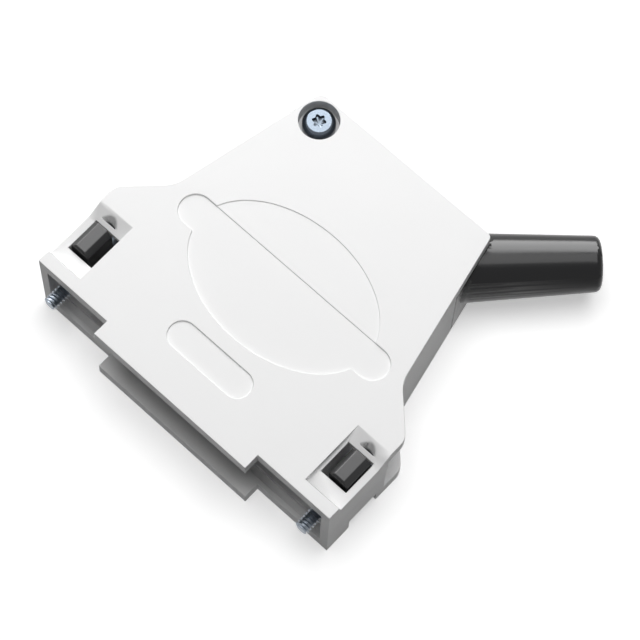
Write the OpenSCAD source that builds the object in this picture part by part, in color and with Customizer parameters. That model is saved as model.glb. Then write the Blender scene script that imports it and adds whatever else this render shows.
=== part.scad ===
// Two-part moulded hood for a 50-way subminiature D connector, with a 45 degree cable outlet.
// X runs across the hood, Y runs rearwards from the front of the ears, Z points out of the cover.
// The origin lies midway between the two jackscrews, in the front plane of the ears.

/* [Shell] */
// Distance between the two jackscrews
screw_pitch = 61.11; // [58:0.01:64]
// Distance of an ear's outer side from its jackscrew
ear_margin = 4.195; // [3.9:0.005:4.6]
// Height of the closed shell
shell_h = 19.3; // [18.4:0.1:22]
// Depth from the front of the ears to the rear edge
shell_d = 58.1; // [54:0.1:66]
// Thickness of the top and bottom plates
plate_t = 2.9; // [2.6:0.1:3.4]
// Thickness of the walls around the wiring space
wall_t = 1.9; // [1.5:0.1:2.4]
// Distance of the wiring space's outer walls from the jackscrews, inwards
body_inset = 3.35; // [3:0.05:3.8]
// Lean of the tapered sides
taper_angle = 12.27; // [9:0.01:15]
// Where the tapered sides begin
taper_y = 27.3; // [25:0.1:28.5]
// Length of an ear's straight side
ear_side_l = 18.2; // [16.5:0.1:20]
// Rounding where an ear's side meets its shoulder
ear_corner_r = 3; // [1:0.5:4]
// Hollow rounding where a shoulder meets the tapered side
shoulder_hollow_r = 6; // [3:0.5:8]
// Rounding of the rear corner at the closing screw
rear_corner_r = 1.8; // [0.5:0.1:2.5]
// Rounding of the rear corner at the cable outlet
outlet_corner_r = 1; // [0.5:0.1:1.5]

/* [Mouth] */
// Width of the two tongues that reach over the mated connector
tongue_w = 36.1; // [30:0.1:44]
// How far the tongues stand in front of the ears
tongue_l = 3.2; // [2:0.1:4.5]
// Thickness of the lip in front of the flange slot
lip_t = 1; // [0.8:0.1:1.2]
// Thickness of the connector's flange
flange_t = 1.2; // [0.8:0.1:1.3]
// How far the connector's flange reaches past each jackscrew
flange_over = 2.91; // [2.7:0.01:3.05]
// Height of the connector's flange
flange_h = 15.37; // [15.1:0.01:15.6]
// Play of the flange in its slot, on each side
flange_play = 0.12; // [0.05:0.01:0.2]
// Where the walls behind the flange begin
seat_y = 3.4; // [2.8:0.1:3.6]
// Thickness of the lip beside the mouth
side_lip_t = 1.9; // [1.5:0.1:2.3]

/* [Joint between the shells] */
// Height of the cover's rim that drops into the bottom shell
rim_h = 1; // [0.6:0.1:1.6]
// Thickness of that rim
rim_t = 0.85; // [0.6:0.05:1]
// Play around the rim
rim_play = 0.08; // [0.04:0.01:0.12]
// Distance of the rim's front ends from the ears' front
rim_front = 8; // [6:0.5:14]

/* [Ears] */
// Thickness of an ear's side wall behind the flange slot
ear_wall_t = 1.45; // [1.2:0.05:1.55]
// Where an ear's side wall ends
ear_wall_end = 14.9; // [14.7:0.1:16]
// Thickness of the wall that a jackscrew passes through
screw_wall_t = 1.9; // [1.5:0.1:2.4]
// Play around a jackscrew's thread in that wall
screw_wall_play = 0.28; // [0.2:0.01:0.35]

/* [Pockets] */
// Distance of a pocket's inner side from its jackscrew
pocket_inset = 3.6; // [3.4:0.05:3.9]
// Depth of a pocket
pocket_depth = 2; // [1.5:0.1:2.1]
// Front edge of a pocket at the top face
pocket_front = 2.45; // [2.3:0.05:2.8]
// Run of the pocket's sloped front
pocket_front_run = 0.55; // [0.3:0.05:0.8]
// Where the pocket's floor begins to rise to the rear
pocket_floor_end = 12.4; // [12:0.1:12.8]
// Radius of the hollow ramp behind a pocket
pocket_ramp_r = 4; // [3.5:0.1:4.5]
// Gap between a pocket's inner side and the window's inner edge
window_inset = 0.5; // [0.3:0.05:0.8]
// Front edge of a window
window_front = 5.85; // [5.6:0.05:6]
// Length of a window
window_l = 7.05; // [6.9:0.05:7.3]
// Width of the bar behind a window
bar_w = 0.85; // [0.7:0.05:1]
// Radius of the slanting notch in the ramp, behind a window's bar
notch_r = 2.1; // [1.6:0.05:2.2]
// Where the notch's rear wall comes out of the ramp
notch_end = 15.1; // [14.8:0.1:15.3]
// Slant of the notch's rear wall
notch_angle = 66; // [60:1:75]
// Height of the side cut-outs in the underside
side_cut_h = 3.6; // [3.2:0.1:4.2]

/* [Label fields] */
// Width of the oval field
oval_w = 39.2; // [30:0.1:42]
// Depth of the oval field along Y
oval_l = 26.1; // [18:0.1:28]
// Distance of the oval field's centre from the ears' front
oval_y = 25.87; // [22:0.01:30]
// Sunk depth of the oval field
oval_sink = 0.25; // [0.1:0.05:0.4]
// Length of the band across the oval field
band_l = 48.7; // [43:0.1:49]
// Width of the band
band_w = 6.4; // [4:0.1:8]
// Length of the small field
pill_l = 18.6; // [12:0.1:24]
// Width of the small field
pill_w = 5.45; // [4:0.05:6]
// Distance of the small field's centre from the ears' front
pill_y = 7.12; // [6:0.01:8]
// Sunk depth of the band and of the small field
band_sink = 0.5; // [0.2:0.05:0.6]

/* [Cable outlet] */
// Distance of the outlet's axis from the rear corner, towards the ear
outlet_shift = 2.04; // [1.4:0.01:2.6]
// Half width of the corner block
block_half_w = 8.2; // [7.6:0.1:8.6]
// Half width of the flange that holds the boot in the shell
hold_half_w = 9.85; // [9.4:0.05:10]
// Distance of the holding flange's inner face from the rear corner, along the axis
hold_depth = 12.7; // [12.4:0.1:13.2]
// Thickness of the holding flange
hold_t = 1.9; // [1.4:0.1:2]
// Play between the corner block and the walls' ends
block_play = 0.06; // [0.03:0.01:0.15]

/* [Boot] */
// Radius of the cable bore
cable_r = 4; // [3:0.1:4.2]
// Boot radius where it leaves the corner block
boot_root_r = 6.5; // [6:0.05:6.7]
// Boot radius at its tip
boot_tip_r = 5.15; // [4.8:0.05:5.6]
// Distance of the boot's root from the rear corner, inwards along the axis
boot_depth = 7.5; // [7:0.1:9]
// Length of the boot from its root to its tip
boot_l = 28.2; // [22:0.1:32]
// Rounding of the boot's tip
boot_tip_round = 1.2; // [0.6:0.1:1.4]
// Bulge of the boot's end face
boot_bulge = 0.45; // [0.2:0.05:0.6]

/* [Closing screw] */
// Distance of the closing screw from the rear corner, along X
close_side = 3.4; // [3.2:0.05:4.4]
// Distance of the closing screw from the rear edge
close_inset = 4.3; // [4.2:0.1:5.5]
// Radius of the hole that takes its head
head_well_r = 3.8; // [3.4:0.05:3.8]
// Depth of that hole
head_well_depth = 3.3; // [2.9:0.1:3.8]
// Outer radius of the boss around the screw
boss_r = 4.9; // [4.5:0.1:5.6]
// Shank radius of the closing screw and the clamp screws
shank_r = 1.5; // [1.2:0.05:1.5]
// Play around a shank in its holes
shank_play = 0.15; // [0.1:0.01:0.2]
// Head radius of the closing screw
close_head_r = 3.08; // [2.7:0.01:3.2]
// Head height of the closing screw
close_head_h = 2.3; // [1.9:0.1:2.4]
// Radius of the six-lobe drive between its lobes
drive_r = 1.02; // [0.9:0.01:1.1]
// Radius of a lobe of the drive
lobe_r = 0.33; // [0.25:0.01:0.36]
// Depth of the drive
drive_depth = 1.3; // [1:0.1:1.4]

/* [Nuts] */
// Nut size across its flats
nut_af = 5.5; // [5:0.1:5.6]
// Nut height
nut_h = 2.3; // [1.8:0.1:2.4]
// Play of a nut in its pocket
nut_play = 0.12; // [0.05:0.01:0.2]

/* [Jackscrews] */
// Outer radius of the jackscrew's thread
thread_r = 1.42; // [1.4:0.01:1.45]
// How far a jackscrew stands in front of the ears
screw_reach = 2.5; // [1.5:0.1:4]
// Chamfer at a jackscrew's tip
screw_tip_chamfer = 0.3; // [0.2:0.05:0.4]
// Mean radius of the thread, which stands for it behind the ears' front
thread_mean_r = 1.22; // [1.15:0.01:1.25]
// Radius of the neck that turns in the retainer
neck_r = 0.95; // [0.85:0.05:1]
// Head radius of a jackscrew
screw_head_r = 2.3; // [2:0.05:2.4]
// Head length of a jackscrew
screw_head_l = 1.9; // [1.6:0.1:2]
// Width of the screwdriver slot
slot_w = 0.8; // [0.6:0.05:1]
// Depth of the screwdriver slot
slot_depth = 0.9; // [0.7:0.1:1.1]

/* [Retainers] */
// Width of a retainer
retainer_w = 4.2; // [3.9:0.05:4.3]
// Offset of a retainer's middle from its jackscrew, outwards
retainer_shift = 0.4; // [0.3:0.05:0.45]
// Retainer's play in its window, front and rear together
retainer_play = 1; // [0.8:0.05:1.1]
// Chamfer along the long edges of a retainer's ends
retainer_chamfer = 1; // [0.6:0.05:1.2]
// Chamfer at the front of a retainer's ends
retainer_front_chamfer = 0.3; // [0.1:0.05:0.6]
// How far a retainer's ends stay inside the faces of the shell
retainer_sink = 0.15; // [0.05:0.05:0.5]
// Play of a jackscrew's neck in the retainer
neck_play = 0.06; // [0.04:0.01:0.1]
// End play of a jackscrew in its retainer, on each side
neck_end_play = 0.05; // [0.03:0.01:0.1]

/* [Cable clamp] */
// Distance of the clamp's middle from the rear corner, along the outlet's axis
clamp_depth = 19.5; // [18.5:0.1:20]
// Length of the clamp across the cable
clamp_l = 23; // [22:0.1:24]
// Width of the clamp along the cable
clamp_w = 6.4; // [6:0.1:7]
// Distance of each clamp screw from the cable's axis
clamp_screw_v = 8; // [7.8:0.1:8.4]
// Thickness of the upper clamp bar beside the cable
clamp_upper_t = 3; // [2.4:0.1:3.2]
// Gap between the clamp bars
clamp_gap = 1; // [0.6:0.1:1.6]
// Rise of the clamp's cable seat above its bars
clamp_seat_t = 1.4; // [1.1:0.1:1.5]
// Head radius of a clamp screw
clamp_head_r = 2.7; // [2.3:0.1:2.8]
// Head height of a clamp screw
clamp_head_h = 1.9; // [1.5:0.1:2]
// Thickness of the ribs that locate the clamp
rib_t = 1.2; // [0.8:0.1:1.6]
// Height of those ribs
rib_h = 2.6; // [2:0.1:3]
// Play of the clamp between its ribs
rib_play = 0.1; // [0.05:0.01:0.2]

/* [Hidden] */
$fn = 64;
arc_steps = 8;
cut = 1;
half_h = shell_h / 2;
roof = half_h - plate_t;
screw_x = screw_pitch / 2;
ear_x = screw_x + ear_margin;
ear_inner = ear_x - ear_wall_t;
body_half_w = screw_x - body_inset;
pocket_x = screw_x - pocket_inset;
pocket_floor = half_h - pocket_depth;
window_x = pocket_x + window_inset;
retainer_x = screw_x + retainer_shift;
retainer_l = window_l - retainer_play;
retainer_front = window_front + retainer_play / 2;
close_y = shell_d - close_inset;
head_floor = half_h - head_well_depth;
taper_slope = tan(taper_angle);
// A shoulder leaves its ear's corner at 45 degrees, so that X plus Y stays the same along it
shoulder_sum = ear_x + ear_side_l + ear_corner_r * tan(22.5);
shoulder_y = (shoulder_sum - body_half_w - taper_slope * taper_y) / (1 - taper_slope);
corner_x = side_x(shell_d);
close_x = corner_x - close_side;
near_white = "#f4f4f4";
black_plastic = "#2a2a2c";
black_rubber = "#303032";
zinc = "#aab0b8";

// Half width of the tapered body at y, measured in from its outer face by inset
function side_x(y, inset = 0) = body_half_w - (y - taper_y) * taper_slope - inset / cos(taper_angle);

function unit(v) = v / norm(v);

// The points of a rounded corner at b, between its neighbours a and c
function corner(a, b, c, r) =
    let (p = unit(a - b), q = unit(c - b))
    let (half = acos(p * q) / 2)
    let (centre = b + unit(p + q) * r / sin(half))
    let (from = b + p * r / tan(half) - centre, to = b + q * r / tan(half) - centre)
    let (start = atan2(from[1], from[0]), turn = atan2(to[1], to[0]) - start)
    let (sweep = turn > 180 ? turn - 360 : turn < -180 ? turn + 360 : turn)
    [for (i = [0:arc_steps])
        centre + r * [cos(start + sweep * i / arc_steps), sin(start + sweep * i / arc_steps)]];

// An outline with each corner rounded by its own radius, where zero keeps it sharp
function rounded(points, radii) =
    let (n = len(points))
    [for (i = [0:n - 1])
        each radii[i] == 0
            ? [points[i]]
            : corner(points[(i + n - 1) % n], points[i], points[(i + 1) % n], radii[i])];

// Plan of the hood's plates, without the tongues
function plate_plan() = rounded(
    [[-ear_x, 0], [ear_x, 0],
     [ear_x, shoulder_sum - ear_x], [side_x(shoulder_y), shoulder_y],
     [side_x(shell_d), shell_d], [-side_x(shell_d), shell_d],
     [-side_x(shoulder_y), shoulder_y], [-ear_x, shoulder_sum - ear_x]],
    [0, 0, ear_corner_r, shoulder_hollow_r, outlet_corner_r, rear_corner_r, shoulder_hollow_r, ear_corner_r]);

// Plan of the wiring space's walls, or of the space itself when inset by their thickness
function body_plan(inset = 0, front = seat_y) =
    let (x = body_half_w - inset, rear = shell_d - inset)
    let (knee = taper_y - inset * (1 / cos(taper_angle) - 1) / taper_slope)
    let (right = max(outlet_corner_r - inset, 0), left = max(rear_corner_r - inset, 0))
    rounded(
        [[-x, front], [x, front], [x, knee],
         [side_x(rear, inset), rear], [-side_x(rear, inset), rear], [-x, knee]],
        [0, 0, 0, right, left, 0]);

// Sets its children on the outlet's axis, abreast of the rear corner: +X follows the cable outwards
module at_outlet() {
    translate([corner_x, shell_d, 0]) rotate([0, 0, 45]) translate([0, -outlet_shift, 0]) children();
}

// Turns a child's +Z along the hood's +Y
module facing_rear() {
    rotate([-90, 0, 0]) children();
}

module both_sides() {
    for (side = [-1, 1])
        scale([side, 1, 1]) children();
}

// A field with round ends, centred on its own middle
module long_field(length, width, depth) {
    linear_extrude(depth)
        union() {
            square([length - width, width], center = true);
            for (end = [-1, 1])
                translate([end * (length - width) / 2, 0]) circle(d = width);
        }
}

module oval_field(width, length, depth) {
    linear_extrude(depth)
        polygon([for (i = [0:95]) [width / 2 * cos(i * 3.75), length / 2 * sin(i * 3.75)]]);
}

// The hollows that both half shells share, where a child's plan widens the wiring space
module shared_hollows() {
    translate([0, 0, -roof]) {
        difference() {
            linear_extrude(2 * roof)
                union() {
                    polygon(body_plan(wall_t, seat_y - cut));
                    children();
                }
            translate([-close_x, close_y, 0]) cylinder(r = boss_r, h = 2 * roof);
        }
        translate([-(ear_x - side_lip_t), -tongue_l - cut, 0])
            cube([2 * (ear_x - side_lip_t), tongue_l + cut + seat_y, 2 * roof]);
        both_sides()
            translate([body_half_w, seat_y + screw_wall_t, 0])
                cube([ear_inner - body_half_w, ear_wall_end - seat_y - screw_wall_t + cut, 2 * roof]);
        difference() {
            translate([-2 * ear_x, ear_wall_end, 0])
                cube([4 * ear_x, shell_d - ear_wall_end + cut, 2 * roof]);
            translate([0, 0, -cut]) linear_extrude(2 * roof + 2 * cut) polygon(body_plan());
        }
    }
    flange_slot();
    for (side = [-1, 1])
        translate([side * screw_x, seat_y - cut, 0]) facing_rear()
            cylinder(r = thread_r + screw_wall_play, h = screw_wall_t + 2 * cut);
    translate([-close_x, close_y, -half_h - cut]) cylinder(r = shank_r + shank_play, h = shell_h + 2 * cut);
}

// The slot that the connector's flange sits in
module flange_slot() {
    slot_x = screw_x + flange_over + flange_play;
    slot_h = flange_h + 2 * flange_play;
    translate([-slot_x, lip_t, -slot_h / 2]) cube([2 * slot_x, flange_t + 2 * flange_play, slot_h]);
}

// Plan of the corner that the boot's block fills
module outlet_plan() {
    at_outlet()
        translate([hold_t - hold_depth, -block_half_w - block_play])
            square([shell_d, 2 * (block_half_w + block_play)]);
}

// That corner, opened from the given height up to just above the joint between the shells
module outlet_corner(low) {
    translate([0, 0, low]) linear_extrude(cut - low) outlet_plan();
}

// A finger pocket with its sloped front and its hollow ramp
module finger_pocket() {
    top = half_h + cut;
    front_slope = pocket_front_run / pocket_depth;
    ramp_end = acos(1 - pocket_depth / pocket_ramp_r);
    translate([pocket_x, 0, 0]) rotate([90, 0, 90])
        linear_extrude(ear_x - pocket_x + cut)
            polygon(concat(
                [[pocket_front - front_slope * cut, top], [pocket_front + pocket_front_run, pocket_floor]],
                [for (i = [0:arc_steps]) ramp_point(ramp_end * i / arc_steps)],
                [ramp_point(ramp_end) + cut * [1 / tan(ramp_end), 1]]));
}

// A point of the hollow ramp's profile, at an angle from where the floor begins to rise
function ramp_point(angle) =
    [pocket_floor_end + pocket_ramp_r * sin(angle), pocket_floor + pocket_ramp_r * (1 - cos(angle))];

module window(low, high) {
    translate([window_x, window_front, low]) cube([ear_inner - window_x, window_l, high - low]);
}

// The slanting notch that leaves a bar standing behind the window
module notch() {
    end = ramp_point(asin((notch_end - pocket_floor_end) / pocket_ramp_r));
    intersection() {
        translate([retainer_x, end[0], end[1]]) rotate([notch_angle - 90, 0, 0])
            translate([0, -notch_r, 0]) cylinder(r = notch_r, h = 2 * half_h, center = true);
        translate([retainer_x - 2 * notch_r, window_front + window_l + bar_w, roof - cut])
            cube([4 * notch_r, 2 * notch_r, plate_t + 2 * cut]);
    }
}

module tongue(low) {
    translate([-tongue_w / 2, -tongue_l, low]) cube([tongue_w, tongue_l + lip_t / 2, plate_t]);
}

// A rim around the wiring space, from its inset and its depth to just above the joint
module rim(inset, front, depth, inner) {
    translate([0, 0, -depth])
        difference() {
            linear_extrude(depth + cut / 2) polygon(body_plan(inset, front));
            translate([0, 0, -cut]) linear_extrude(depth + 3 * cut) polygon(body_plan(inner, front - cut));
        }
}

module top_cover() {
    color(near_white)
    difference() {
        union() {
            difference() {
                union() {
                    linear_extrude(half_h) polygon(plate_plan());
                    tongue(roof);
                }
                shared_hollows() outlet_plan();
            }
            rim(wall_t - rim_t, rim_front, rim_h, wall_t);
        }
        outlet_corner(-rim_h - cut);
        both_sides() {
            finger_pocket();
            window(roof - cut, pocket_floor + cut);
            notch();
        }
        translate([0, oval_y, half_h - oval_sink]) oval_field(oval_w, oval_l, oval_sink + cut);
        translate([0, oval_y, half_h - band_sink]) long_field(band_l, band_w, band_sink + cut);
        translate([0, pill_y, half_h - band_sink]) long_field(pill_l, pill_w, band_sink + cut);
        translate([-close_x, close_y, head_floor]) cylinder(r = head_well_r, h = head_well_depth + cut);
    }
}

module bottom_shell() {
    color(near_white)
    difference() {
        union() {
            difference() {
                union() {
                    translate([0, 0, -half_h]) linear_extrude(half_h) polygon(plate_plan());
                    tongue(-half_h);
                }
                shared_hollows();
            }
            at_outlet()
                for (side = [-1, 1])
                    translate([side * (clamp_w / 2 + rib_play + rib_t / 2) - clamp_depth, 0, -roof - cut / 2])
                        translate([-rib_t / 2, -clamp_l / 2, 0]) cube([rib_t, clamp_l, rib_h + cut / 2]);
        }
        outlet_corner(-half_h - cut);
        rim(wall_t - rim_t - rim_play, rim_front - rim_play, rim_h + rim_play, wall_t + rim_play);
        both_sides()
            translate([window_x, window_front, -half_h - cut])
                cube([ear_x - window_x + cut, window_l, side_cut_h + cut]);
        translate([-close_x, close_y, -half_h - cut]) nut_pocket(nut_h + cut + nut_play);
    }
}

module nut_pocket(depth) {
    cylinder(d = (nut_af + 2 * nut_play) / cos(30), h = depth, $fn = 6);
}

module hex_nut() {
    difference() {
        cylinder(d = nut_af / cos(30), h = nut_h, $fn = 6);
        translate([0, 0, -cut]) cylinder(r = shank_r, h = nut_h + 2 * cut);
    }
}

// Profile of the boot from its root to its rounded and bulging tip
function boot_profile() =
    let (r = boot_tip_r - boot_tip_round, rim = boot_l - boot_bulge)
    let (ball = (r * r + boot_bulge * boot_bulge) / (2 * boot_bulge))
    concat(
        [[cable_r - cut, 0], [boot_root_r, 0]],
        [for (i = [0:6])
            [r + boot_tip_round * cos(i * 15), rim - boot_tip_round + boot_tip_round * sin(i * 15)]],
        [for (i = [1:4])
            let (x = r - i * (r - cable_r + cut) / 4) [x, boot_l - ball + sqrt(ball * ball - x * x)]]);

module cable_boot() {
    color(black_rubber)
    difference() {
        union() {
            intersection() {
                translate([0, 0, -half_h]) linear_extrude(half_h + roof) polygon(plate_plan());
                at_outlet()
                    translate([hold_t - hold_depth + block_play, -block_half_w, -half_h - cut])
                        cube([shell_d, 2 * block_half_w, shell_h + 2 * cut]);
            }
            intersection() {
                translate([0, 0, -roof]) linear_extrude(2 * roof) polygon(body_plan(wall_t + block_play));
                at_outlet()
                    translate([-hold_depth, -hold_half_w, -half_h]) cube([shell_d, 2 * hold_half_w, shell_h]);
            }
            at_outlet()
                translate([-boot_depth, 0, 0]) rotate([0, 90, 0]) rotate_extrude() polygon(boot_profile());
        }
        at_outlet()
            translate([-hold_depth - cut, 0, 0]) rotate([0, 90, 0])
                cylinder(r = cable_r, h = hold_depth + boot_l);
    }
}

// A domed pan head, with its seat at zero and its dome upwards
module pan_head(radius, height) {
    rim = height * 0.45;
    rotate_extrude()
        polygon(concat(
            [[0, 0], [radius, 0]],
            [for (i = [0:8])
                [radius * (0.55 + 0.45 * cos(i * 11.25)), rim + (height - rim) * sin(i * 11.25)]],
            [[0, height]]));
}

module six_lobe_drive(depth) {
    cylinder(r = drive_r, h = depth);
    for (i = [0:5])
        rotate([0, 0, i * 60]) translate([drive_r, 0, 0]) cylinder(r = lobe_r, h = depth);
}

module machine_screw(head_r, head_h, length) {
    difference() {
        union() {
            pan_head(head_r, head_h);
            translate([0, 0, -length]) cylinder(r = shank_r, h = length + head_h / 2);
        }
        translate([0, 0, head_h - drive_depth]) six_lobe_drive(drive_depth + cut);
    }
}

module closing_screw() {
    color(zinc)
    translate([-close_x, close_y, head_floor])
        machine_screw(close_head_r, close_head_h, head_floor + half_h - nut_play);
}

module closing_nut() {
    color(zinc)
    translate([-close_x, close_y, -half_h + nut_play / 2]) hex_nut();
}

// A jackscrew along +Z, with zero in the front plane of the ears
module jackscrew() {
    thread_end = retainer_front - neck_end_play;
    head_start = retainer_front + retainer_l + neck_end_play;
    difference() {
        union() {
            translate([0, 0, -screw_reach])
                cylinder(r1 = thread_r - screw_tip_chamfer, r2 = thread_r, h = screw_tip_chamfer);
            translate([0, 0, screw_tip_chamfer - screw_reach])
                cylinder(r = thread_r, h = screw_reach - screw_tip_chamfer);
            translate([0, 0, -screw_tip_chamfer])
                cylinder(r = thread_mean_r, h = screw_tip_chamfer + thread_end);
            translate([0, 0, thread_end - cut]) cylinder(r = neck_r, h = head_start - thread_end + 2 * cut);
            translate([0, 0, head_start]) cylinder(r = screw_head_r, h = screw_head_l);
        }
        translate([-2 * screw_head_r, -slot_w / 2, head_start + screw_head_l - slot_depth])
            cube([4 * screw_head_r, slot_w, slot_depth + cut]);
    }
}

module jackscrew_left() {
    color(zinc) translate([-screw_x, 0, 0]) facing_rear() jackscrew();
}

module jackscrew_right() {
    color(zinc) translate([screw_x, 0, 0]) facing_rear() jackscrew();
}

// A rectangle's outline about its middle, with one chamfer at its left corners and another at its right ones
function chamfered(x, y, left, right) = concat(
    [[-x, y - left], [-x, left - y], [left - x, -y]],
    right == 0 ? [[x, -y], [x, y]] : [[x - right, -y], [x, right - y], [x, y - right], [x - right, y]],
    [[left - x, y]]);

// The block that a jackscrew's neck turns in, seen through the windows of an ear
module retainer(side) {
    reach = half_h - retainer_sink;
    translate([side * retainer_x, retainer_front + retainer_l / 2, 0]) scale([side, 1, 1])
        difference() {
            intersection() {
                rotate([90, 0, 0]) linear_extrude(retainer_l, center = true)
                    polygon(chamfered(retainer_w / 2, reach, retainer_chamfer, retainer_chamfer));
                rotate([90, 0, 90]) linear_extrude(2 * retainer_w, center = true)
                    polygon(chamfered(retainer_l / 2, reach, retainer_front_chamfer, 0));
            }
            translate([-retainer_shift, -retainer_l, 0]) facing_rear()
                cylinder(r = neck_r + neck_play, h = 2 * retainer_l);
        }
}

module retainer_right() {
    color(black_plastic) retainer(1);
}

module retainer_left() {
    color(black_plastic) retainer(-1);
}

// A clamp bar's plan swept upwards between two heights
module clamp_bar(low, high) {
    translate([-clamp_depth - clamp_w / 2, -clamp_l / 2, low]) cube([clamp_w, clamp_l, high - low]);
}

module clamp_cable_seat() {
    translate([-clamp_depth - clamp_w, 0, 0]) rotate([0, 90, 0]) cylinder(r = cable_r, h = 2 * clamp_w);
}

module clamp_holes(low, high) {
    for (side = [-1, 1])
        translate([-clamp_depth, side * clamp_screw_v, low])
            cylinder(r = shank_r + shank_play, h = high - low);
}

module clamp_lower() {
    color("#d8d8d8")
    at_outlet()
        difference() {
            clamp_bar(-roof, -clamp_gap / 2);
            clamp_cable_seat();
            clamp_holes(-half_h, cut);
            for (side = [-1, 1])
                translate([-clamp_depth, side * clamp_screw_v, -roof - cut]) rotate([0, 0, 30])
                    nut_pocket(nut_h + nut_play + cut);
        }
}

module clamp_upper() {
    saddle_r = cable_r + clamp_seat_t;
    color("#d8d8d8")
    at_outlet()
        difference() {
            union() {
                clamp_bar(clamp_gap / 2, clamp_gap / 2 + clamp_upper_t);
                intersection() {
                    translate([-clamp_depth - clamp_w / 2, 0, 0]) rotate([0, 90, 0])
                        cylinder(r = saddle_r, h = clamp_w);
                    clamp_bar(clamp_gap / 2, saddle_r + cut);
                }
            }
            clamp_cable_seat();
            clamp_holes(0, half_h);
        }
}

module clamp_screw(side) {
    color(zinc)
    at_outlet()
        translate([-clamp_depth, side * clamp_screw_v, clamp_gap / 2 + clamp_upper_t])
            machine_screw(clamp_head_r, clamp_head_h, clamp_gap / 2 + clamp_upper_t + roof - nut_play);
}

module clamp_nut(side) {
    color(zinc)
    at_outlet()
        translate([-clamp_depth, side * clamp_screw_v, -roof + nut_play / 2]) rotate([0, 0, 30]) hex_nut();
}

module clamp_screw_inner() {
    clamp_screw(1);
}

module clamp_screw_outer() {
    clamp_screw(-1);
}

module clamp_nut_inner() {
    clamp_nut(1);
}

module clamp_nut_outer() {
    clamp_nut(-1);
}

top_cover();
bottom_shell();
cable_boot();
closing_screw();
closing_nut();
jackscrew_left();
jackscrew_right();
retainer_left();
retainer_right();
clamp_lower();
clamp_upper();
clamp_screw_inner();
clamp_screw_outer();
clamp_nut_inner();
clamp_nut_outer();
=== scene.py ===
# %% [markdown]
# A moulded connector hood, dressed from its construction model
# The hood is a pair of white plastic half shells that hold a connector, with a black boot where
# the cable leaves at 45 degrees. The construction model already has the main shapes and sizes, so
# this lesson is about what it lacks: rounded moulded edges, real threads, drive recesses and
# surfaces that look moulded, plated or vulcanised.

# %% Start from the frame
import math

import bmesh
import bpy
from mathutils import Matrix, Vector


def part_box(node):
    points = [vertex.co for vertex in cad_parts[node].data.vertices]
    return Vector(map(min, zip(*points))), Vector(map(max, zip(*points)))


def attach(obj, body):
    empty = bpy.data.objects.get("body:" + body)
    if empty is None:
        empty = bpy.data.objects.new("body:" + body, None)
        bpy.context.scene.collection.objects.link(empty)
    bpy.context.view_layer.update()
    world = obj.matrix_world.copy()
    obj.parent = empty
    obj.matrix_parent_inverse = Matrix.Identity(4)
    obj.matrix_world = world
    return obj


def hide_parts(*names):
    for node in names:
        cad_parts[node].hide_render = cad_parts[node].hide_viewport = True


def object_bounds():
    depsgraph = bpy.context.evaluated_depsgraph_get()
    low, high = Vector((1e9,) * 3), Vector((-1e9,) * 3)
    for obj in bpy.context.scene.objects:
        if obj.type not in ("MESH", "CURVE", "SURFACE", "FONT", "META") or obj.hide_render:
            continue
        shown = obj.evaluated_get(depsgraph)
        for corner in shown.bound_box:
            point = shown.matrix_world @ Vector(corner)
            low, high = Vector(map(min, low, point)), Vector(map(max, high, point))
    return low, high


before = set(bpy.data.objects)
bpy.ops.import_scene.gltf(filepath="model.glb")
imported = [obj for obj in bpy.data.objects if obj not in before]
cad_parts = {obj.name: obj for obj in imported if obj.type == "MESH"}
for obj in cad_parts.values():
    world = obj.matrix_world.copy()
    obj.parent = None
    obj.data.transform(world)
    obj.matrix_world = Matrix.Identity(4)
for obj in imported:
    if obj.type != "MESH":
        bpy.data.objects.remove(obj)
CAD_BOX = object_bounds()
MM = 0.001
print("nodes:", ", ".join(sorted(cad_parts)))

# %% [markdown]
# The camera
# A long lens from half a metre keeps the hood's sides almost parallel, as product photographs do.
# Azimuth, elevation and roll say where the camera stands better than a matrix does, and the one
# point that it looks at sets the framing.

# %% Camera
AZIMUTH, ELEVATION, ROLL = (math.radians(angle) for angle in (39.13, 69.05, 3.71))
LOOK_AT = Vector((6.70, 28.45, 0.0)) * MM
DISTANCE = 496.0 * MM
LENS_MM = 156.22
CLIP_START, CLIP_END = 10 * MM, 20


def place_camera():
    """A camera that looks at LOOK_AT from AZIMUTH and ELEVATION, turned by ROLL on its own axis."""
    back = Vector((math.sin(AZIMUTH) * math.cos(ELEVATION),
                   -math.cos(AZIMUTH) * math.cos(ELEVATION), math.sin(ELEVATION)))
    data = bpy.data.cameras.new("camera")
    data.lens = LENS_MM
    data.clip_start = CLIP_START
    data.clip_end = CLIP_END
    camera = bpy.data.objects.new("camera", data)
    bpy.context.scene.collection.objects.link(camera)
    turn = back.to_track_quat("Z", "Y").to_matrix().to_4x4() @ Matrix.Rotation(ROLL, 4, "Z")
    camera.matrix_world = Matrix.Translation(LOOK_AT + back * DISTANCE) @ turn
    return camera


bpy.context.scene.camera = place_camera()
bpy.context.scene.view_settings.view_transform = "Standard"
print("camera at", [round(c, 4) for c in bpy.context.scene.camera.matrix_world.translation])

# %% [markdown]
# Colours and nodes
# Colours are written as the hex values that a designer would read off a swatch. Blender's sockets
# want linear light, so one function converts them. A second small function adds a shader node,
# sets its inputs and makes its links, which keeps each material readable.


# %% Helpers for materials
def colour(hex_value):
    """An sRGB hex colour as linear RGBA."""
    channels = [int(hex_value[i:i + 2], 16) / 255 for i in (1, 3, 5)]
    return [c / 12.92 if c <= 0.04045 else ((c + 0.055) / 1.055) ** 2.4
            for c in channels] + [1.0]


def new_material(name):
    """A node material and its shader."""
    material = bpy.data.materials.new(name)
    material.use_nodes = True
    return material, material.node_tree.nodes["Principled BSDF"]


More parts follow.
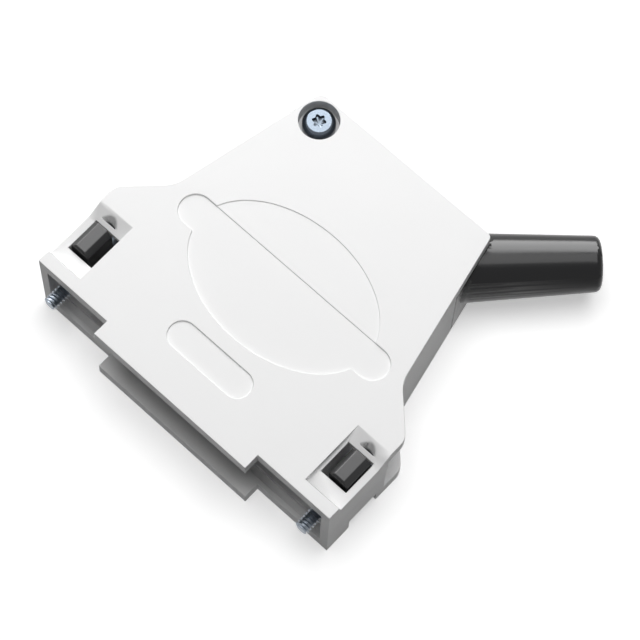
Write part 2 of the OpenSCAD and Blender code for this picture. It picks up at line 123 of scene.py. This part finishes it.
def add(owner, kind, inputs=(), **settings):
    """Adds a node. inputs maps a socket to its value, or to another node's output to link from."""
    tree = owner.node_tree
    made = tree.nodes.new("ShaderNode" + kind)
    for name, value in settings.items():
        setattr(made, name, value)
    for socket, value in dict(inputs).items():
        if isinstance(value, bpy.types.NodeSocket):
            tree.links.new(value, made.inputs[socket])
        else:
            made.inputs[socket].default_value = value
    return made


def link(owner, output, socket):
    owner.node_tree.links.new(output, socket)


# %% [markdown]
# The white shells' plastic
# The half shells are injection-moulded ABS. The mould was spark-eroded, which leaves a very fine,
# even grain: it spreads highlights without looking rough. So the base is near white, with the
# plain IOR of a plastic, and two layers of bump: the grain, drawn at 0.12 mm because the real
# 0.03 mm would not show, and a slow waviness 9 mm long where the thick walls sank as they cooled.


# %% White moulded plastic
def white_moulded_abs():
    material, shader = new_material("white_moulded_abs")
    place = add(material, "TexCoord").outputs["Object"]
    grain = add(material, "TexNoise",
                {"Vector": place, "Scale": 1 / (0.12 * MM), "Detail": 2.0})
    sink = add(material, "TexNoise",
               {"Vector": place, "Scale": 1 / (9 * MM), "Detail": 1.0})
    fine = add(material, "Bump",
               {"Height": grain.outputs["Fac"], "Strength": 0.12, "Distance": 0.02 * MM})
    slow = add(material, "Bump",
               {"Height": sink.outputs["Fac"], "Strength": 0.25, "Distance": 0.02 * MM,
                "Normal": fine.outputs["Normal"]})
    tone = add(material, "MapRange",
               {"Value": sink.outputs["Fac"], "To Min": 0.42, "To Max": 0.5})
    shader.inputs["Base Color"].default_value = colour("#F1F1F1")
    shader.inputs["IOR"].default_value = 1.53
    link(material, tone.outputs["Result"], shader.inputs["Roughness"])
    link(material, slow.outputs["Normal"], shader.inputs["Normal"])
    return material


ABS = white_moulded_abs()
print("made", ABS.name)

# %% [markdown]
# The boot's rubber and the black nylon
# The boot is soft black rubber from a polished mould. It has a smooth sheen that varies slowly
# along it, and a faint dusty grain. The blocks in the ears are glass-filled nylon, which is
# rougher, with short fibres that show as a fine mottle.


# %% Rubber and nylon
def black_moulded_rubber():
    material, shader = new_material("black_moulded_rubber")
    place = add(material, "TexCoord").outputs["Object"]
    grain = add(material, "TexNoise",
                {"Vector": place, "Scale": 1 / (0.18 * MM), "Detail": 3.0})
    bloom = add(material, "TexNoise",
                {"Vector": place, "Scale": 1 / (14 * MM), "Detail": 2.0})
    bump = add(material, "Bump",
               {"Height": grain.outputs["Fac"], "Strength": 0.15, "Distance": 0.02 * MM})
    tone = add(material, "MapRange",
               {"Value": bloom.outputs["Fac"], "To Min": 0.2, "To Max": 0.25})
    shader.inputs["Base Color"].default_value = colour("#101012")
    shader.inputs["IOR"].default_value = 1.52
    shader.inputs["Specular IOR Level"].default_value = 0.22
    link(material, tone.outputs["Result"], shader.inputs["Roughness"])
    link(material, bump.outputs["Normal"], shader.inputs["Normal"])
    return material


def black_glass_filled_nylon():
    material, shader = new_material("black_glass_filled_nylon")
    place = add(material, "TexCoord").outputs["Object"]
    fibres = add(material, "TexNoise",
                 {"Vector": place, "Scale": 1 / (0.25 * MM), "Detail": 4.0})
    bump = add(material, "Bump",
               {"Height": fibres.outputs["Fac"], "Strength": 0.2, "Distance": 0.02 * MM})
    tone = add(material, "MapRange",
               {"Value": fibres.outputs["Fac"], "To Min": 0.38, "To Max": 0.52})
    shader.inputs["Base Color"].default_value = colour("#101012")
    shader.inputs["IOR"].default_value = 1.53
    shader.inputs["Specular IOR Level"].default_value = 0.33
    link(material, tone.outputs["Result"], shader.inputs["Roughness"])
    link(material, bump.outputs["Normal"], shader.inputs["Normal"])
    return material


RUBBER, NYLON = black_moulded_rubber(), black_glass_filled_nylon()
print("made", RUBBER.name, NYLON.name)

# %% [markdown]
# The metals
# The screws and nuts are steel with a blue-passivated zinc plating, which has a cool tint and is
# faintly mottled where the plating grew unevenly. The screw heads are darker and smoother. The
# clamp's bars are pressed from thicker steel and barrel plated, so they are duller and carry the
# scuffs of tumbling. A metal keeps the shader's default IOR.


# %% Zinc plating
def zinc_plating(name, hex_value, mottle_mm, smoothest, roughest):
    """Plated steel whose roughness varies between two values, over patches of the given size."""
    material, shader = new_material(name)
    place = add(material, "TexCoord").outputs["Object"]
    marks = add(material, "TexNoise",
                {"Vector": place, "Scale": 1 / (mottle_mm * MM), "Detail": 3.0})
    bump = add(material, "Bump",
               {"Height": marks.outputs["Fac"], "Strength": 0.1, "Distance": 0.01 * MM})
    tone = add(material, "MapRange",
               {"Value": marks.outputs["Fac"], "To Min": smoothest, "To Max": roughest})
    shader.inputs["Base Color"].default_value = colour(hex_value)
    shader.inputs["Metallic"].default_value = 1.0
    link(material, tone.outputs["Result"], shader.inputs["Roughness"])
    link(material, bump.outputs["Normal"], shader.inputs["Normal"])
    return material


ZINC = zinc_plating("blue_zinc_plating", "#888F98", 0.3, 0.28, 0.38)
HEAD_ZINC = zinc_plating("passivated_zinc_plating", "#565D65", 0.3, 0.14, 0.22)
BARREL_ZINC = zinc_plating("barrel_zinc_plating", "#A4A8AC", 0.6, 0.36, 0.52)
print("made", ZINC.name, HEAD_ZINC.name, BARREL_ZINC.name)

# %% [markdown]
# From construction mesh to moulded piece
# The shells, the boot and the blocks keep the construction model's shapes, but no mould makes a
# perfectly sharp edge. Each is copied, its loose triangles are merged and dissolved into whole
# faces, and a Bevel modifier rounds its outward edges. The modifier's own clamp would let the
# shortest edge of all limit the whole piece, so it is off, and the width is small. Weighted
# normals then keep the large faces flat in shading, while the rounded edges run smoothly on.

# %% Helpers for meshes
MERGE_DISTANCE = 0.002 * MM
FLAT_ANGLE = math.radians(0.5)


def alone(piece):
    """Makes piece the only selected object, and the active one."""
    bpy.ops.object.select_all(action="DESELECT")
    piece.select_set(True)
    bpy.context.view_layer.objects.active = piece


def copy_of(node, name, reshape=None):
    """A copy of a node's mesh, its points moved by reshape() and its flat areas made whole."""
    piece = bpy.data.objects.new(name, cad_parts[node].data.copy())
    bpy.context.scene.collection.objects.link(piece)
    piece.data.materials.clear()
    alone(piece)
    if reshape:
        for vertex in piece.data.vertices:
            vertex.co = reshape(vertex.co / MM) * MM
    bpy.ops.object.mode_set(mode="EDIT")
    bpy.ops.mesh.select_all(action="SELECT")
    bpy.ops.mesh.remove_doubles(threshold=MERGE_DISTANCE)
    bpy.ops.mesh.dissolve_limited(angle_limit=FLAT_ANGLE)
    bpy.ops.object.mode_set(mode="OBJECT")
    return piece


def round_edges(piece, width, sharpest=35, wanted=None, segments=3):
    """Rounds outward edges sharper than an angle in degrees, or those that wanted() accepts."""
    shape = bmesh.new()
    shape.from_mesh(piece.data)
    layers = shape.edges.layers.float
    weight = layers.get("bevel_weight_edge") or layers.new("bevel_weight_edge")
    for edge in shape.edges:
        edge[weight] = 0.0
    chosen = [edge for edge in shape.edges
              if len(edge.link_faces) == 2 and edge.is_convex
              and edge.calc_face_angle() > math.radians(sharpest)
              and (wanted is None or wanted(edge))]
    for edge in chosen:
        edge[weight] = 1.0
    shape.to_mesh(piece.data)
    shape.free()
    alone(piece)
    bevel = piece.modifiers.new("edges", "BEVEL")
    bevel.limit_method = "WEIGHT"
    bevel.width = width
    bevel.segments = segments
    bevel.use_clamp_overlap = False
    bpy.ops.object.modifier_apply(modifier=bevel.name)
    return len(chosen)


def smooth(piece, angle=35):
    """Shades smooth up to an angle in degrees, with normals that follow the larger faces."""
    alone(piece)
    bpy.ops.object.shade_smooth_by_angle(angle=math.radians(angle))
    weighted = piece.modifiers.new("normals", "WEIGHTED_NORMAL")
    weighted.keep_sharp = True
    bpy.ops.object.modifier_apply(modifier=weighted.name)


def combine(piece, other, operation):
    """Applies a Boolean of other to piece, and removes other."""
    alone(piece)
    step = piece.modifiers.new("step", "BOOLEAN")
    step.operation = operation
    step.solver = "EXACT"
    step.object = other
    bpy.ops.object.modifier_apply(modifier=step.name)
    bpy.data.objects.remove(other)
    return piece


def dress(piece, material, node, body):
    """Gives a piece its material and its body, and lets it stand for its construction node."""
    piece.data.materials.clear()
    piece.data.materials.append(material)
    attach(piece, body)
    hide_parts(node)


# %% [markdown]
# The ramps and notches behind the windows
# Behind each window the pocket's floor rises to the top face. The construction model makes this
# ramp hollow, and on the real part it looks nearly straight, so its points are lifted to the
# straight line between its ends. The notch behind the window's bar is deep, and a steep wall with
# a rounded rim gives it the dark, soft-edged look that it has. So the foot of its wall is moved
# back, the rim gets a wide rounding, and a curtain hangs below the plate behind the notch. The
# curtain is a stand-in for the look from the front. The real hood has none: from behind it shows
# in the ear's open rear, where it hides the upper half of the jackscrew's head.
# The front part of the oval is sunk to the band's floor, as no step shows between them.

# %% Sizes of the ramps and notches, in millimetres
RAMP_START, RAMP_RADIUS, RAMP_RUN = 12.4, 4.0, 3.4641
POCKET_FLOOR, TOP_FACE, ROOF = 7.65, 9.65, 6.75
POCKET_X, BAR_BACK = 26.955, 13.75
NOTCH_X, NOTCH_RADIUS, NOTCH_END = 30.955, 2.1, 15.1
OVAL_FLOOR, BAND_FLOOR, BAND_FRONT = 9.4, 9.15, 22.67
FOOT_SHIFT, RIM_ROUNDING, RIM_SEGMENTS, RIM_REACH = 0.3, 0.32, 4, 0.2
CURTAIN_X, CURTAIN_Y, CURTAIN_Z = 31.2, 15.5, 3.95
CURTAIN_SIZE = Vector((6.4, 0.7, 6))
NEAR = 0.01
print("ramp", RAMP_RUN, "mm long,", round(TOP_FACE - POCKET_FLOOR, 2), "mm high")


# %% The cover's ramps and notches
def ramp_height(y):
    return POCKET_FLOOR + (y - RAMP_START) * (TOP_FACE - POCKET_FLOOR) / RAMP_RUN


def as_moulded(point):
    """Straightens a ramp, stands a notch's wall up, and sinks the front part of the oval."""
    x, y, z = point
    if abs(z - OVAL_FLOOR) < NEAR and y < BAND_FRONT + 5 * NEAR:
        return Vector((x, y, BAND_FLOOR))
    run = y - RAMP_START
    if abs(x) < POCKET_X - NEAR or not 0 < run < RAMP_RUN:
        return point
    hollow = POCKET_FLOOR + RAMP_RADIUS - math.sqrt(RAMP_RADIUS ** 2 - run ** 2)
    if abs(z - hollow) < 3 * NEAR:
        return Vector((x, y, ramp_height(y)))
    beside_notch = abs(abs(x) - NOTCH_X) < NOTCH_RADIUS + 5 * NEAR
    if abs(z - ROOF) < 3 * NEAR and y > BAR_BACK + 5 * NEAR and beside_notch:
        return Vector((x, y + FOOT_SHIFT, z))
    return point


def on_notch_rim(edge):
    """Whether an edge runs round a notch's mouth, on the ramp and behind the bar."""
    ends = [vertex.co / MM for vertex in edge.verts]
    on_ramp = all(abs(z - ramp_height(y)) < 2 * NEAR
                  and abs(abs(x) - NOTCH_X) < NOTCH_RADIUS + RIM_REACH
                  and BAR_BACK - NEAR < y < NOTCH_END + RIM_REACH for x, y, z in ends)
    return on_ramp and max(y for x, y, z in ends) > BAR_BACK + 2 * NEAR


def join_curtain(piece, side):
    """Joins a curtain into piece behind a notch, as a closed shell of its own."""
    bpy.ops.object.select_all(action="DESELECT")
    bpy.ops.mesh.primitive_cube_add(
        size=1, location=(side * CURTAIN_X * MM, CURTAIN_Y * MM, CURTAIN_Z * MM),
        scale=CURTAIN_SIZE * MM)
    bpy.ops.object.transform_apply(location=True, rotation=True, scale=True)
    curtain = bpy.context.object
    alone(piece)
    curtain.select_set(True)
    bpy.ops.object.join()


cover = copy_of("top_cover", "top_cover_moulded", as_moulded)
rim_edges = round_edges(cover, RIM_ROUNDING * MM, wanted=on_notch_rim, segments=RIM_SEGMENTS)
for side in (-1, 1):
    join_curtain(cover, side)
print(rim_edges, "edges round the notches")

# %% The half shells
SHELL_ROUNDING = 0.12 * MM

for shell in (cover, copy_of("bottom_shell", "bottom_shell_moulded")):
    count = round_edges(shell, SHELL_ROUNDING)
    smooth(shell)
    dress(shell, ABS, shell.name.removesuffix("_moulded"), "root")
    print(shell.name, count, "edges rounded,", len(shell.data.polygons), "faces")

# %% The boot and the blocks in the ears
BLACK_ROUNDING = 0.15 * MM
INNER_CORNER = math.radians(10)


def clear_of_inner_corners(edge):
    """Whether neither end of an edge lies on an inward corner, as at the foot of the tube."""
    return not any(len(near.link_faces) == 2 and near.calc_face_angle_signed() < -INNER_CORNER
                   for vertex in edge.verts for near in vertex.link_edges)


boot = copy_of("cable_boot", "cable_boot_moulded")
boot_edges = round_edges(boot, BLACK_ROUNDING, wanted=clear_of_inner_corners)
smooth(boot)
dress(boot, RUBBER, "cable_boot", "root")
for side in ("left", "right"):
    block = copy_of("retainer_" + side, "retainer_" + side + "_moulded")
    round_edges(block, BLACK_ROUNDING)
    smooth(block)
    dress(block, NYLON, "retainer_" + side, "retainer_" + side)
print("boot", boot_edges, "edges rounded,", len(boot.data.polygons), "faces; block",
      len(block.data.polygons), "faces")

# %% [markdown]
# Turned shapes
# A screw is a turned part, so it is made as a lathe makes it: a disc is extruded along the axis
# and scaled at each station, until the outline of half its section is followed. The drive recess
# is then cut with a punch, and the thread is laid round the shank.


# %% Helper for turned pieces
def turned(name, stations, sides=48):
    """A closed solid of revolution along +Z through (radius, height) stations, in millimetres."""
    bpy.ops.object.select_all(action="DESELECT")
    radius, height = stations[0]
    bpy.ops.mesh.primitive_circle_add(vertices=sides, radius=radius * MM, fill_type="NGON",
                                      location=(0, 0, height * MM))
    piece = bpy.context.object
    piece.name = name
    bpy.ops.object.mode_set(mode="EDIT")
    bpy.ops.mesh.select_all(action="SELECT")
    for (radius, low), (next_radius, high) in zip(stations, stations[1:]):
        growth = next_radius / radius
        bpy.ops.mesh.extrude_region_move(
            TRANSFORM_OT_translate={"value": (0, 0, (high - low) * MM)})
        bpy.ops.transform.resize(value=(growth, growth, 1), center_override=(0, 0, high * MM))
    bpy.ops.mesh.select_all(action="SELECT")
    bpy.ops.mesh.normals_make_consistent(inside=False)
    bpy.ops.object.mode_set(mode="OBJECT")
    bpy.ops.object.transform_apply(location=True, rotation=True, scale=True)
    return piece


# %% [markdown]
# Threads
# A thread is one ridge wound round a core. Its tooth is drawn as four points, the Screw modifier
# winds them, the two ends are closed, and a blank with chamfered ends trims the ridge, as a die
# would leave it. The jackscrews have the unified coarse number 4 thread, 0.635 mm from crest to
# crest. The other screws are metric, 3 mm across.

# %% Helper for threads
ROOT_SINK, BLANK_PLAY = 0.05, 0.01
STEPS_PER_TURN, BLANK_SIDES = 36, 72


def thread(name, core, crest, pitch, low, high, tip_chamfer):
    """A thread's trimmed ridge along +Z, between two heights, in millimetres."""
    bpy.ops.object.select_all(action="DESELECT")
    bpy.ops.mesh.primitive_plane_add(size=1)
    ridge = bpy.context.object
    ridge.name = name
    root, root_half, crest_half = core - ROOT_SINK, 0.4 * pitch, pitch / 16
    tooth = [(root, -root_half), (crest, -crest_half), (root, root_half), (crest, crest_half)]
    for vertex, (radius, height) in zip(ridge.data.vertices, tooth):
        vertex.co = Vector((radius, 0, low - pitch + height)) * MM
    bpy.ops.object.mode_set(mode="EDIT")
    bpy.ops.mesh.select_all(action="SELECT")
    bpy.ops.mesh.delete(type="ONLY_FACE")
    bpy.ops.object.mode_set(mode="OBJECT")
    winding = ridge.modifiers.new("winding", "SCREW")
    winding.axis = "Z"
    winding.screw_offset = pitch * MM
    winding.iterations = math.ceil((high - low) / pitch) + 2
    winding.steps = winding.render_steps = STEPS_PER_TURN
    winding.use_smooth_shade = False
    bpy.ops.object.modifier_apply(modifier=winding.name)
    bpy.ops.object.mode_set(mode="EDIT")
    bpy.ops.mesh.select_all(action="SELECT")
    bpy.ops.mesh.fill_holes(sides=4)
    bpy.ops.mesh.normals_make_consistent(inside=False)
    bpy.ops.object.mode_set(mode="OBJECT")
    blank = turned("blank", [(crest - tip_chamfer, low),
                             (crest + BLANK_PLAY, low + tip_chamfer),
                             (crest + BLANK_PLAY, high - tip_chamfer),
                             (core - 2 * BLANK_PLAY, high)], sides=BLANK_SIDES)
    return combine(ridge, blank, "INTERSECT")


# %% One jackscrew, copied to both ears
TIP, SEAT_WALL, NECK_START = -2.5, 3.3, 6.3
HEAD_START, HEAD_END = 12.45, 14.35
THREAD_CREST, THREAD_CORE, THREAD_PITCH, THREAD_CHAMFER = 1.42, 1.03, 0.635, 0.3
SHANK_R, SHANK_END_R, NECK_R = 1.22, 1.07, 0.95
HEAD_R, HEAD_SEAT_R, HEAD_TOP_R = 2.3, 2.18, 2.05
FINE_CHAMFER, SHANK_RISE, SHANK_CHAMFER, HEAD_CHAMFER = 0.12, 0.2, 0.15, 0.25
SLOT_LENGTH, SLOT_WIDTH, SLOT_DEPTH = 6, 0.8, 0.9


def jackscrew():
    """A jackscrew along +Y, with zero in the front plane of the ears."""
    tip = [(THREAD_CORE - FINE_CHAMFER, TIP), (THREAD_CORE, TIP + FINE_CHAMFER),
           (THREAD_CORE, SEAT_WALL)]
    shank = [(SHANK_R, SEAT_WALL + SHANK_RISE), (SHANK_R, NECK_START - SHANK_CHAMFER),
             (SHANK_END_R, NECK_START)]
    neck = [(NECK_R, NECK_START), (NECK_R, HEAD_START)]
    head = [(HEAD_SEAT_R, HEAD_START), (HEAD_R, HEAD_START + FINE_CHAMFER),
            (HEAD_R, HEAD_END - HEAD_CHAMFER), (HEAD_TOP_R, HEAD_END)]
    body = turned("jackscrew", tip + shank + neck + head)
    bpy.ops.object.select_all(action="DESELECT")
    bpy.ops.mesh.primitive_cube_add(
        size=1, location=(0, 0, HEAD_END * MM),
        scale=(SLOT_LENGTH * MM, SLOT_WIDTH * MM, 2 * SLOT_DEPTH * MM))
    combine(body, bpy.context.object, "DIFFERENCE")
    ridge = thread("ridge", THREAD_CORE, THREAD_CREST, THREAD_PITCH, TIP, SEAT_WALL,
                   THREAD_CHAMFER)
    combine(body, ridge, "UNION")
    body.data.transform(Matrix.Rotation(math.radians(-90), 4, "X"))
    return body


pattern = jackscrew()
for side in ("left", "right"):
    low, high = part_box("jackscrew_" + side)
    screw = bpy.data.objects.new("jackscrew_" + side + "_threaded", pattern.data.copy())
    bpy.context.scene.collection.objects.link(screw)
    screw.data.transform(Matrix.Translation(((low[0] + high[0]) / 2, 0, 0)))
    smooth(screw, 30)
    dress(screw, ZINC, "jackscrew_" + side, "jackscrew_" + side)
bpy.data.objects.remove(pattern)
print("jackscrew", len(screw.data.polygons), "faces")

# %% [markdown]
# Machine screws with a six-lobe drive
# The closing screw and the two clamp screws share one function. The closing screw's head is a low
# cheese with a broad flat top and a sloping shoulder, the clamp screws' heads are domed, and the
# recess has six round lobes, punched cold.

# %% Helpers for the machine screws
LOBE_MEAN, LOBE_SWING = 1.165, 0.185
PUNCH_DEPTH, PUNCH_POINT, PUNCH_POINT_R, PUNCH_SIDES = 1.1, 0.35, 0.2, 96
METRIC_CREST, METRIC_CORE, METRIC_PITCH, METRIC_CHAMFER = 1.5, 1.22, 0.5, 0.25
PLAIN_R, PLAIN_LENGTH, PLAIN_RISE = 1.45, 0.8, 0.2
END_R, END_CHAMFER = 1.0, 0.3


def shoulder(inner, outer, low, high, steps=6):
    """Stations of a rounded shoulder, from its outer edge up to its inner one."""
    angles = [math.pi / 2 * i / steps for i in range(steps + 1)]
    return [(inner + (outer - inner) * math.cos(a), low + (high - low) * math.sin(a))
            for a in angles]


def six_lobe_punch(top, depth, turn):
    """A cutter whose sides swing in and out six times, with a cone below for its point."""
    punch = turned("punch", [(PUNCH_POINT_R, top - depth - PUNCH_POINT), (1, top - depth),
                             (1, top + 1)], sides=PUNCH_SIDES)
    for vertex in punch.data.vertices:
        angle = math.atan2(vertex.co.y, vertex.co.x) - turn
        reach = LOBE_MEAN + LOBE_SWING * math.cos(6 * angle)
        vertex.co.x *= reach
        vertex.co.y *= reach
    return punch


def machine_screw(node, name, head, end, turn):
    """A screw on its construction node's axis, from its shank's end and its head's stations."""
    seat, top = head[0][1], head[-1][1]
    thread_end = seat - PLAIN_LENGTH - PLAIN_RISE
    shank = [(END_R, end), (METRIC_CORE, end + END_CHAMFER), (METRIC_CORE, thread_end),
             (PLAIN_R, seat - PLAIN_LENGTH), (PLAIN_R, seat)]
    body = turned(name, shank + head)
    combine(body, six_lobe_punch(top, PUNCH_DEPTH, turn), "DIFFERENCE")
    combine(body, thread("ridge", METRIC_CORE, METRIC_CREST, METRIC_PITCH, end, thread_end,
                         METRIC_CHAMFER), "UNION")
    low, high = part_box(node)
    middle = ((low[0] + high[0]) / 2, (low[1] + high[1]) / 2, 0)
    body.data.transform(Matrix.Translation(middle))
    smooth(body, 30)
    dress(body, HEAD_ZINC, node, "root")
    return body


# %% The closing screw and the clamp screws
CLOSING_HEAD = [(2.96, 6.35), (3.08, 6.47), (3.08, 8.5), (2.98, 8.72), (2.42, 9.3), (2.25, 9.4)]
CLAMP_HEAD = [(2.6, 3.5), (2.7, 3.6)] + shoulder(1.6, 2.7, 4.4, 5.4)
CLOSING_END, CLAMP_END = -9.53, -6.63

closing = machine_screw("closing_screw", "closing_screw_threaded", CLOSING_HEAD, CLOSING_END,
                        math.radians(30))
for place, turn in (("inner", 10), ("outer", 42)):
    machine_screw("clamp_screw_" + place, "clamp_screw_" + place + "_threaded", CLAMP_HEAD,
                  CLAMP_END, math.radians(turn))
print("closing screw", len(closing.data.polygons), "faces")

# %% [markdown]
# Nuts and the cable clamp
# Nuts are sliced from hexagon bar, and the corners of each end are turned away to a cone. So a
# hexagon is made, a double cone trims it, and the hole gets a thread's minor size with a
# countersink. The clamp's bars are pressings with rounded edges, which the copy-and-bevel way
# already gives.

# %% Nuts and clamp bars
NUT_FLATS, NUT_FACE_R, NUT_CHAMFER, NUT_PLAY = 5.5, 2.6, 0.34, 0.02
HOLE_R, SINK_R, SINK_DEPTH, SINK_OVERSHOOT = 1.26, 2.0, 0.49, 0.25
BAR_ROUNDING = 0.2 * MM


def nut(node, turn):
    """A hexagon nut over its construction node, turned about its axis."""
    low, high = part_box(node)
    bottom, top = low[2] / MM, high[2] / MM
    corner = NUT_FLATS / math.cos(math.pi / 6) / 2
    piece = turned(node + "_hexagon", [(corner, bottom), (corner, top)], sides=6)
    piece.data.transform(Matrix.Rotation(turn, 4, "Z"))
    lathe = turned("lathe", [(NUT_FACE_R, bottom), (corner + NUT_PLAY, bottom + NUT_CHAMFER),
                             (corner + NUT_PLAY, top - NUT_CHAMFER), (NUT_FACE_R, top)])
    combine(piece, lathe, "INTERSECT")
    drill = turned("drill", [(SINK_R, bottom - SINK_OVERSHOOT), (HOLE_R, bottom + SINK_DEPTH),
                             (HOLE_R, top - SINK_DEPTH), (SINK_R, top + SINK_OVERSHOOT)])
    combine(piece, drill, "DIFFERENCE")
    middle = ((low[0] + high[0]) / 2, (low[1] + high[1]) / 2, 0)
    piece.data.transform(Matrix.Translation(middle))
    smooth(piece, 25)
    dress(piece, ZINC, node, "root")
    return piece


for node, turn in (("closing_nut", math.pi / 6), ("clamp_nut_inner", 0), ("clamp_nut_outer", 0)):
    piece = nut(node, turn)
for node in ("clamp_lower", "clamp_upper"):
    bar = copy_of(node, node + "_pressed")
    round_edges(bar, BAR_ROUNDING, sharpest=50)
    smooth(bar)
    dress(bar, BARREL_ZINC, node, "root")
print("nut", len(piece.data.polygons), "faces, bar", len(bar.data.polygons), "faces")

# %% [markdown]
# Floor and light
# The hood lies on a plain white table. A soft lamp almost straight above makes the top face white
# and leaves the walls a middle grey, as in a product photograph. A real white table would throw
# light back up at the walls, so the floor is white only to the camera and in reflections, and
# dark to the bounced light. A second soft light stands at the back left and is seen in
# reflections only: it draws the bright band along the boot.

# %% Floor and world
FLOOR_Z, FLOOR_SIZE = CAD_BOX[0][2], 3
WORLD_FILL, FLOOR_BOUNCE, FLOOR_WHITE, FLOOR_GLOW = 0.08, 0.04, 0.98, 0.45


def seen_directly(owner):
    """One where the camera, a reflection or a view through glass looks, and zero elsewhere."""
    path = add(owner, "LightPath")
    first = add(owner, "Math", {0: path.outputs["Is Camera Ray"], 1: path.outputs["Is Glossy Ray"]},
                operation="MAXIMUM")
    return add(owner, "Math", {0: first.outputs[0], 1: path.outputs["Is Transmission Ray"]},
               operation="MAXIMUM").outputs[0]


def table_paint():
    """White with a little glow where it is seen directly, and a dark grey elsewhere."""
    material, shader = new_material("table_paint")
    material.node_tree.nodes.remove(shader)
    white = add(material, "BsdfDiffuse", {"Color": (FLOOR_WHITE, FLOOR_WHITE, FLOOR_WHITE, 1)})
    lift = add(material, "Emission", {"Color": (1, 1, 1, 1), "Strength": FLOOR_GLOW})
    bright = add(material, "AddShader", {0: white.outputs[0], 1: lift.outputs[0]})
    grey = add(material, "BsdfDiffuse", {"Color": (FLOOR_BOUNCE, FLOOR_BOUNCE, FLOOR_BOUNCE, 1)})
    mix = add(material, "MixShader", {0: seen_directly(material), 1: grey.outputs[0],
                                      2: bright.outputs[0]})
    output = material.node_tree.nodes["Material Output"]
    link(material, mix.outputs[0], output.inputs["Surface"])
    return material


def build_floor_and_world():
    bpy.ops.object.select_all(action="DESELECT")
    bpy.ops.mesh.primitive_plane_add(size=FLOOR_SIZE, location=(0, 0, FLOOR_Z))
    floor = bpy.context.object
    floor.name = "floor"
    floor.data.materials.append(table_paint())
    world = bpy.data.worlds.new("world")
    bpy.context.scene.world = world
    world.use_nodes = True
    sky = world.node_tree.nodes["Background"]
    strength = add(world, "MapRange", {"Value": seen_directly(world), "To Min": WORLD_FILL,
                                       "To Max": 1.0})
    link(world, strength.outputs["Result"], sky.inputs["Strength"])
    sky.inputs["Color"].default_value = (1, 1, 1, 1)


build_floor_and_world()
print("floor at", round(FLOOR_Z, 5))

# %% Lamps
LAMP_WATTS, LAMP_SIZE, LAMP_PLACE, LAMP_AIM = 5.7, 0.75, (-0.04, 0.11, 0.9), (0, 0.03, 0)
SOFTBOX_WATTS, SOFTBOX_WIDTH, SOFTBOX_HEIGHT = 21.0, 0.9, 0.61
SOFTBOX_PLACE, SOFTBOX_AIM = (-0.32, 0.417, 0.336), (0.03, 0.066, 0)


def area_lamp(name, shape, size, watts, place, aim):
    """A soft lamp at a place, facing a point."""
    lamp = bpy.data.lights.new(name, "AREA")
    lamp.shape = shape
    lamp.size = size
    lamp.energy = watts
    holder = bpy.data.objects.new(name, lamp)
    holder.location = place
    holder.rotation_euler = (Vector(place) - Vector(aim)).to_track_quat("Z", "Y").to_euler()
    bpy.context.scene.collection.objects.link(holder)
    return holder


area_lamp("overhead", "DISK", LAMP_SIZE, LAMP_WATTS, LAMP_PLACE, LAMP_AIM)
softbox = area_lamp("softbox", "RECTANGLE", SOFTBOX_WIDTH, SOFTBOX_WATTS, SOFTBOX_PLACE,
                    SOFTBOX_AIM)
softbox.data.size_y = SOFTBOX_HEIGHT
softbox.visible_diffuse = False
softbox.visible_camera = False
print("lamps:", LAMP_WATTS, "W overhead,", SOFTBOX_WATTS, "W softbox")
